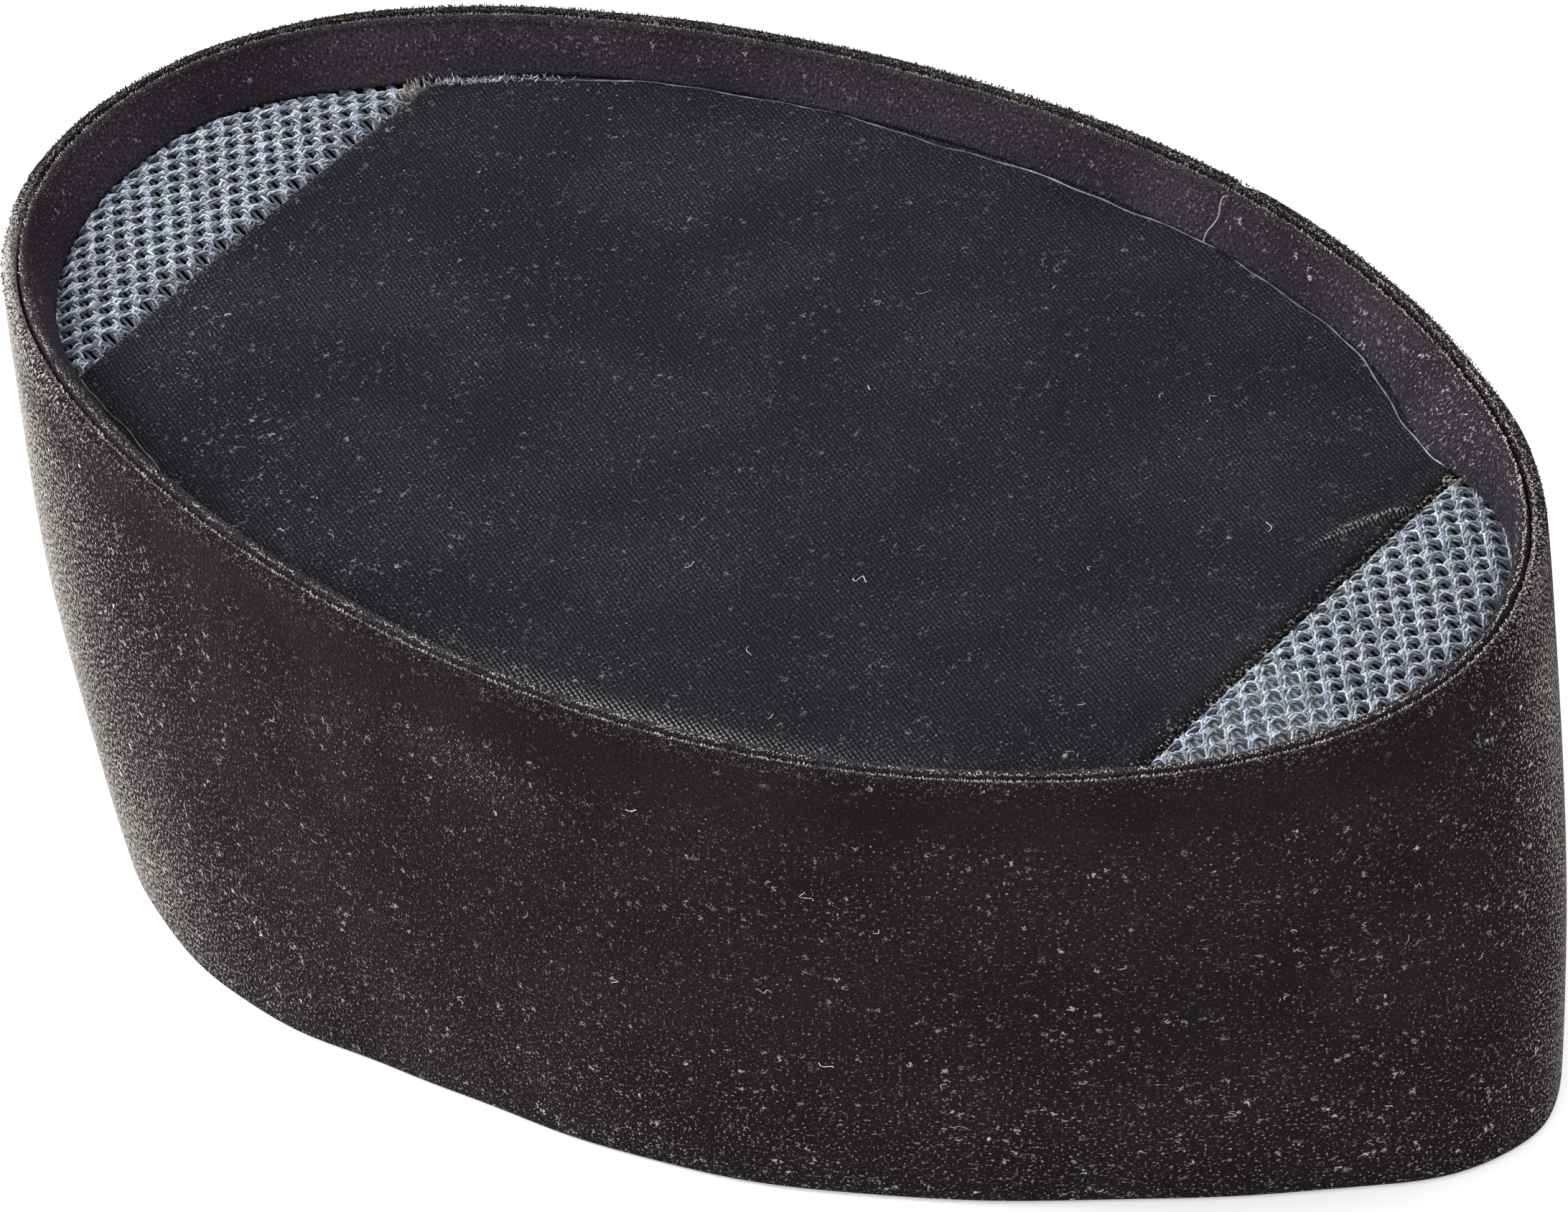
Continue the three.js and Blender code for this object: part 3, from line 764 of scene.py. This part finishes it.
def vent_piece(name, node, seam, end, yarn):
    """The vent: zigzag wales of four yarns twisted round each other, stitches over the nodes, and
    under them a plainer layer of single yarns, as in a spacer mesh."""
    points, faces, tones = [], [], []
    offset = 0
    count = int(RIM_WIDTH / 2 / WALE_PITCH)

    def keep(paths, radius, tone):
        """Adds yarns along the paths to the vent's points, faces and tones."""
        nonlocal offset
        made, walls, caps = tubes(paths, radius, YARN_SIDES)
        points.append(made)
        faces.extend([walls + offset, caps + offset])
        tones.append(np.repeat(tone, paths.shape[1] * YARN_SIDES))
        offset += len(made)

    for wale in range(-count, count):
        middle_x = (wale + 0.5) * WALE_PITCH
        middle = wale_paths(middle_x, wale, WALE_SWING, 0.37, seam, end, WALE_DEPTH)
        if middle is None:
            continue
        tangent = unit(np.gradient(middle, axis=0))
        sideways = unit(np.cross(tangent, (0.0, 0.0, 1.0)))
        upward = np.cross(sideways, tangent)
        turn = math.pi * middle[:, 1] / NODE_ALONG + wale * 0.37
        plies = turn + np.arange(len(PLY_TONES))[:, None] * 2 * math.pi / len(PLY_TONES)
        ring = np.cos(plies)[..., None] * sideways + np.sin(plies)[..., None] * upward
        keep(middle + PLY_RING * ring, PLY_RADIUS, PLY_TONES * random.uniform(0.7, 1.15, len(PLY_TONES)))
        for aside in (-0.25, 0.25):
            below = wale_paths(middle_x + aside * WALE_PITCH, wale + 1, UNDER_SWING, 0.8, seam, end,
                               UNDER_DEPTH)
            if below is not None:
                keep(below[None], UNDER_RADIUS, np.array([UNDER_TONE]))
    stitches = node_stitches(seam, end)
    keep(stitches, STITCH_RADIUS, 0.20 + random.uniform(0, 1, len(stitches)) ** 1.3)
    return add_piece(name, np.concatenate(points), faces, [yarn], [node],
                     {"tone": np.concatenate(tones)})


# Pile at the folds, seams and edges. A tuft is up to 0.4 mm wide, far wider than one real fibre, so that
# it shows.

TUFT_ROOT = 0.08  # how deep a tuft stands in the fold
SEAM_TUFT_SPACING = 0.28
LOOSE_PER_MM = 18  # loose tufts for each millimetre of a frayed edge
FRAYED_TUFTS = 260
THREAD_RADIUS = 0.10


def angles_every(spacing, inset, height):
    """Angles round the hat whose points lie about the spacing apart, each a little off at random."""
    fine = np.linspace(-QUARTER_TURN, 3 * QUARTER_TURN, 4001)
    line = wall_point(fine, height, inset)
    travelled = distances(line)
    count = int(travelled[-1] / spacing)
    places = (np.arange(count) + random.uniform(-0.45, 0.45, count)) * spacing
    return np.interp(places % travelled[-1], travelled, fine)


# Rows of tufts on the folds at the rim, which are half circles round a middle inset. Each row stands at
# a turn (degrees up from straight outward) give or take its scatter, and has its lengths and tones on
# the near and the far side. Fine glinting tufts run along both folds, with soft nap beside them. The
# tones are painted light: the glinting rows are painted highlights, paler on the near side, and the
# nap is paler on the far side.
BAND_FOLD = dict(middle=BAND_WALL / 2, radius=BAND_WALL / 2)
FACING_FOLD = dict(middle=BAND_WALL + GAP + FACING_WALL / 2, radius=FACING_WALL / 2)
RIM_TUFTS = [
    dict(fold=BAND_FOLD, turn=75, scatter=70, spacing=0.12, lengths=(0.28, 0.45), tones=(0.16, 0.28)),
    dict(fold=BAND_FOLD, turn=115, scatter=12, spacing=0.22, lengths=(0.45, 0.45), tones=(0.95, 0.30)),
    dict(fold=FACING_FOLD, turn=70, scatter=15, spacing=0.19, lengths=(0.50, 0.45), tones=(1.15, 0.35)),
    dict(fold=FACING_FOLD, turn=115, scatter=50, spacing=0.20, lengths=(0.35, 0.40), tones=(0.25, 0.25)),
]


def rim_pile(fibres):
    """Tufts of pile that stand square to the velvet where it is folded over the rim. Their pale tones are
    painted glints, in streaks and more towards the front left, and differ between the near and the far
    side as painted light."""
    feet, directions, lengths, tones = [], [], [], []
    for row in RIM_TUFTS:
        middle, radius = row["fold"]["middle"], row["fold"]["radius"]
        angle = angles_every(row["spacing"], middle, HEIGHT)
        size = len(angle)
        turn = np.radians(row["turn"] + row["scatter"] * random.uniform(-1, 1, size))
        height = HEIGHT - radius + (radius - TUFT_ROOT) * np.sin(turn)
        inset = middle - (radius - TUFT_ROOT) * np.cos(turn) - bulge(angle, height)
        feet.append(wall_point(angle, height, inset))
        lean = turn + random.normal(0, 0.25, size)
        out = outward(angle, height)
        along = np.stack([-out[:, 1], out[:, 0], out[:, 2]], -1)
        up = np.array([0.0, 0.0, 1.0])
        directions.append(np.cos(lean)[:, None] * out + np.sin(lean)[:, None] * up
                          + random.normal(0, 0.35, size)[:, None] * along)
        near = 0.5 - 0.5 * np.cos(angle - math.radians(30))
        long = row["lengths"][1] + (row["lengths"][0] - row["lengths"][1]) * near
        lengths.append(long * random.uniform(0.6, 1.3, size))
        # Painted light: each tuft's tone goes from the far side's value to the near side's.
        painted_light_tone = row["tones"][1] + (row["tones"][0] - row["tones"][1]) * near
        glint_streak = 0.7 + 0.6 * np.sin(83 * angle) * np.sin(31 * angle + 1) + 0.9 * bell_round(angle, -60, 26)
        tones.append(np.maximum(painted_light_tone * glint_streak, 0) * random.uniform(0.1, 1.5, size) ** 1.6)
    feet, directions, lengths, tones = map(np.concatenate, (feet, directions, lengths, tones))
    widths = random.uniform(0.16, 0.32, len(lengths))
    return tuft_piece("rim_pile", feet, directions, lengths, widths, tones, fibres,
                      shares=(0.2, 0.8))


def seam_pile(name, seam, end, fibres, frayed_from, frayed_to):
    """Glinting fibre ends along the turned edge of the crown where it meets a vent, which grow long
    and loose between two places where the edge is frayed."""
    left, right = crown_reach(seam, 1), crown_reach(seam, -1)
    even = np.arange(-right, left, SEAM_TUFT_SPACING)
    frayed = random.uniform(frayed_from, frayed_to, int(LOOSE_PER_MM * (frayed_to - frayed_from)))
    x = np.concatenate([even + random.uniform(-0.2, 0.2, len(even)), frayed])
    loose = np.arange(len(x)) >= len(even)
    y = seam + end * np.where(loose, random.uniform(-0.4, 2.0, len(x)), -0.15)
    level = CROWN_EDGE + CROWN_RISE * (1 - share_across(x, seam) ** 2) - random.uniform(0.1, 1.1, len(x))
    level = level + np.where(loose, 0.6, 0)
    feet = np.stack([x, y, level], -1)
    directions = np.stack([random.normal(0, 0.4, len(x)) + 0.5 * loose, np.full(len(x), end * 1.0),
                           random.normal(0.3, 0.4, len(x)) + 0.6 * loose], -1)
    lengths = random.uniform(0.3, 0.75, len(x)) * np.where(loose, 1.9, 1)
    widths = random.uniform(0.22, 0.38, len(x))
    tones = np.where(loose, random.uniform(0.1, 0.8, len(x)), random.uniform(0.0, 1.0, len(x)) ** 2.5)
    return tuft_piece(name, feet, directions, lengths, widths, tones, fibres)


def crown_edge_highlight(name, side, fibres):
    """A painted highlight along the turned edge of the crown's cloth at the foot of the facing, on one
    long side: a thin pale strand. It sways in and out by the sum of two sines and fades in places."""
    angle = side_angles(side, 1401)
    distance = np.arange(len(angle)) * 0.19
    sway = 0.45 * np.sin(distance / 9.5) + 0.30 * np.sin(distance / 3.7 + 1) + 0.12 * np.sin(distance / 1.3)
    line = wall_point(angle, CROWN_EDGE + 0.10, crown_inset(angle) + 0.25 + sway)
    kept = (line[:, 1] > FRONT_SEAM + 1) & (line[:, 1] < REAR_SEAM - 1)
    line, distance = line[kept], distance[kept]
    line[:, 2] = crown_level(line[:, 0], line[:, 1]) + 0.04 + 0.05 * np.sin(distance / 0.9)
    fade = 0.5 + 0.5 * np.sin(distance / 5.3) * np.sin(distance / 14 + 1)
    tone = 0.05 + 0.45 * fade ** 2 * random.uniform(0.4, 1.4, len(line))
    radius = 0.08 + 0.05 * fade + 0.03 * np.sin(distance / 0.5)
    return strand_piece(name, line[None], radius[None], tone, fibres)


def frayed_edge(fibres):
    """Loose fibre ends along the crown's left edge in front of the rear seam, fewer further from it."""
    y = REAR_SEAM - np.abs(random.normal(0, 7.0, FRAYED_TUFTS))
    x = crown_reach(y, 1) - random.uniform(-0.2, 1.6, len(y))
    feet = np.stack([x, y, crown_level(x, y) - 0.1], -1)
    directions = np.stack([random.normal(0.5, 0.6, len(y)), random.normal(0, 0.6, len(y)),
                           random.uniform(0.3, 1.2, len(y))], -1)
    lengths = random.uniform(0.5, 1.3, len(y))
    widths = random.uniform(0.16, 0.3, len(y))
    tones = random.uniform(0.0, 1.0, len(y)) ** 1.5
    return tuft_piece("frayed_edge", feet, directions, lengths, widths, tones, fibres)


def curls(count, steps, shortest, longest):
    """Plan offsets of short curled threads in millimetres: each runs straight and sways by a sine of
    its own, like lint that has caught on cloth."""
    run = np.linspace(-0.5, 0.5, steps)
    length = random.uniform(shortest, longest, (count, 1))
    share = random.uniform(0.1, 0.3, (count, 1))
    sway = share * length * np.sin(run * random.uniform(3, 9, (count, 1)) + 1)
    heading = random.uniform(0, 2 * math.pi, (count, 1))
    return (length * run * np.cos(heading) - sway * np.sin(heading),
            length * run * np.sin(heading) + sway * np.cos(heading))


def lint_piece(fibres):
    """Loose white threads on the crown and on the side, one of them at the crown's middle front."""
    crown_threads, side_threads, steps = 14, 26, 14
    across, along = curls(crown_threads, steps, 0.6, 2.2)
    x = random.uniform(-50, 50, (crown_threads, 1))
    y = random.uniform(-74, 74, (crown_threads, 1))
    x[0], y[0] = -4.6, -57.2
    x, y = x + across, y + along
    on_crown = np.stack([x, y, crown_level(x, y) + 0.10], -1)
    across, up = curls(side_threads, steps, 0.5, 1.6)
    angle = np.radians(random.uniform(130, 290, (side_threads, 1))) + across / JOIN_RADIUS
    height = random.uniform(6, 70, (side_threads, 1)) + up
    on_side = wall_point(angle, height, -bulge(angle, height) - 0.15)
    paths = np.concatenate([on_crown, on_side])
    radii = random.uniform(0.04, 0.075, (len(paths), 1))
    tones = np.repeat(random.uniform(0.1, 0.7, len(paths)), steps)
    return strand_piece("lint", paths, radii, tones, fibres, sides=4)


def join_thread(fibres):
    """The pale sewing thread that shows at the join, from the rim down the facing to the crown."""
    run = np.linspace(0, 1, 40)
    inset = BAND_WALL + GAP + 0.9 + (CROWN_INSET - BAND_WALL - GAP - 0.9) * run
    slope = np.maximum(inset - BAND_WALL - GAP - FACING_WALL, 0) / FACING_RUN
    height = HEIGHT - 0.05 - (CROWN_DROP - 0.6) * slope
    angle = JOIN_ANGLE + 0.003 * np.sin(run * 9) + 0.004 * run
    tones = 0.15 + 0.3 * np.sin(run * 40) ** 2
    path = wall_point(angle, height, inset)[None]
    return strand_piece("join_thread", path, THREAD_RADIUS, tones, fibres)


# Floor, light and camera

# Soft lamps, in metres and watts, each aimed at the hat: daylight from behind it and a weak one in
# front.
LAMPS = [
    dict(name="key", place=(-0.50, 1.36, 0.90), size=0.9, power=46),
    dict(name="fill", place=(-0.9, -0.9, 1.0), size=1.2, power=4),
]


def studio():
    """A white floor just under the hem, a white room and the lamps. The floor glows a little, so that
    the hat's shadow stays faint, as on a lit table."""
    floor_mesh = bpy.data.meshes.new("floor")
    reach = 3.0
    low = -0.1 * MM
    corners = [(-reach, -reach, low), (reach, -reach, low), (reach, reach, low), (-reach, reach, low)]
    floor_mesh.from_pydata(corners, [], [(0, 1, 2, 3)])
    material, _, shader = new_material("white_paper")
    shader.inputs["Base Color"].default_value = linear("fafafc")
    shader.inputs["Roughness"].default_value = 0.9
    shader.inputs["Emission Color"].default_value = linear("ffffff")
    shader.inputs["Emission Strength"].default_value = 0.26
    floor_mesh.materials.append(material)
    floor = add_object("floor", floor_mesh)

    world = bpy.data.worlds.new("white_room")
    world.use_nodes = True
    background = world.node_tree.nodes["Background"]
    background.inputs["Color"].default_value = linear("ffffff")
    background.inputs["Strength"].default_value = 1.15
    bpy.context.scene.world = world

    for row in LAMPS:
        light = bpy.data.lights.new(row["name"], "AREA")
        light.size = row["size"]
        light.energy = row["power"]
        lamp = add_object(row["name"], light)
        lamp.location = row["place"]
        lamp.rotation_mode = "QUATERNION"
        lamp.rotation_quaternion = Vector(row["place"]).to_track_quat("Z", "Y")


# The camera's place, worked out from the photograph, whose frame is 2184 by 1688 pixels.
PHOTO_WIDTH = 2184
PHOTO_HEIGHT = 1688
CAMERA_AZIMUTH = math.radians(-45.88)
CAMERA_ELEVATION = math.radians(38.63)
CAMERA_ROLL = math.radians(-9.0)
CAMERA_DISTANCE = 1462.5
FOCAL_PIXELS = 15154.6
CENTRE_PIXELS = (1100.7, 848.2)  # where the point aimed at lies in the photograph
AIM_HEIGHT = 39.0


def camera():
    """The camera, looking at the hat's middle: its frame is turned by the roll and then shifted."""
    az, el, turn = CAMERA_AZIMUTH, CAMERA_ELEVATION, CAMERA_ROLL
    back = np.array([math.sin(az) * math.cos(el), -math.cos(az) * math.cos(el), math.sin(el)])
    level = np.array([math.cos(az), math.sin(az), 0.0])
    upright = np.cross(back, level)
    right = level * math.cos(turn) + upright * math.sin(turn)
    up = -level * math.sin(turn) + upright * math.cos(turn)
    data = bpy.data.cameras.new("camera")
    data.sensor_width = 36.0
    data.lens = FOCAL_PIXELS / PHOTO_WIDTH * data.sensor_width
    data.shift_x = -(CENTRE_PIXELS[0] - PHOTO_WIDTH / 2) / PHOTO_WIDTH
    data.shift_y = (CENTRE_PIXELS[1] - PHOTO_HEIGHT / 2) / PHOTO_WIDTH
    data.clip_start, data.clip_end = 0.05, 30.0
    taker = add_object("camera", data)
    place = (np.array([0.0, RIM_MIDDLE, AIM_HEIGHT]) + back * CAMERA_DISTANCE) * MM
    columns = np.eye(4)
    columns[:3, :4] = np.stack([right, up, back, place], 1)
    taker.matrix_world = Matrix(columns.tolist())
    bpy.context.scene.camera = taker


camera()
studio()
bpy.context.scene.view_settings.view_transform = "Standard"

band_velvet = cut_pile_velvet("band_cut_pile_velvet", deep="151214", lit="282225", row_pitch=0.62,
                              dot_pitch=0.85, row_slope=0.5, row_depth=0.15, sheen=0.20)
facing_velvet = cut_pile_velvet("facing_cut_pile_velvet", deep="19161a", lit="403a43", row_pitch=0.62,
                                dot_pitch=0.85, row_slope=0.5, row_depth=0.3, sheen=0.12)
crown_velvet = cut_pile_velvet("crown_cut_pile_velvet", deep="17171a", lit="414048", row_pitch=0.60,
                               dot_pitch=0.80, row_slope=math.radians(-64), row_depth=0.9, sheen=0.10)
back_weave = plain_black_weave()

# Cut cotton pile, cut cotton at a seam, frayed cotton at the crown's edge with its thin line of painted
# highlight, and loose white cotton are dull.
# Polyester yarn is smooth, so it glints, and it looks blue beside the black.
pile_fibres = fibre("cotton_pile_ends", dark="141114", pale="c2bbb1", roughness=0.8, sheen=0.2)
seam_fibres = fibre("cotton_seam_ends", dark="1c1815", pale="ab9a84", roughness=0.8, sheen=0.3)
edge_fibres = fibre("frayed_cotton_and_edge_highlight", dark="2a2a2c", pale="b9bcbf", roughness=0.7, sheen=0.3)
lint_fibres = fibre("white_cotton_lint", dark="55524f", pale="d9d7d2", roughness=0.8, sheen=0.3)
mesh_yarn = fibre("polyester_mesh_yarn", dark="171c26", pale="bdc9d8", roughness=0.36, sheen=0.1,
                  unevenness=0.6)

band_piece(band_velvet, back_weave)
facing_piece(facing_velvet)
crown_piece(crown_velvet, back_weave)
vent_piece("vent_knit_front", "vent_mesh_front", FRONT_SEAM, -1, mesh_yarn)
vent_piece("vent_knit_rear", "vent_mesh_rear", REAR_SEAM, 1, mesh_yarn)
rim_pile(pile_fibres)
seam_pile("front_seam_pile", FRONT_SEAM, -1, seam_fibres, frayed_from=33.5, frayed_to=34.5)
seam_pile("rear_seam_pile", REAR_SEAM, 1, seam_fibres, frayed_from=30.5, frayed_to=38.0)
crown_edge_highlight("crown_edge_highlight_left", 1, edge_fibres)
crown_edge_highlight("crown_edge_highlight_right", -1, edge_fibres)
frayed_edge(edge_fibres)
lint_piece(lint_fibres)
join_thread(lint_fibres)
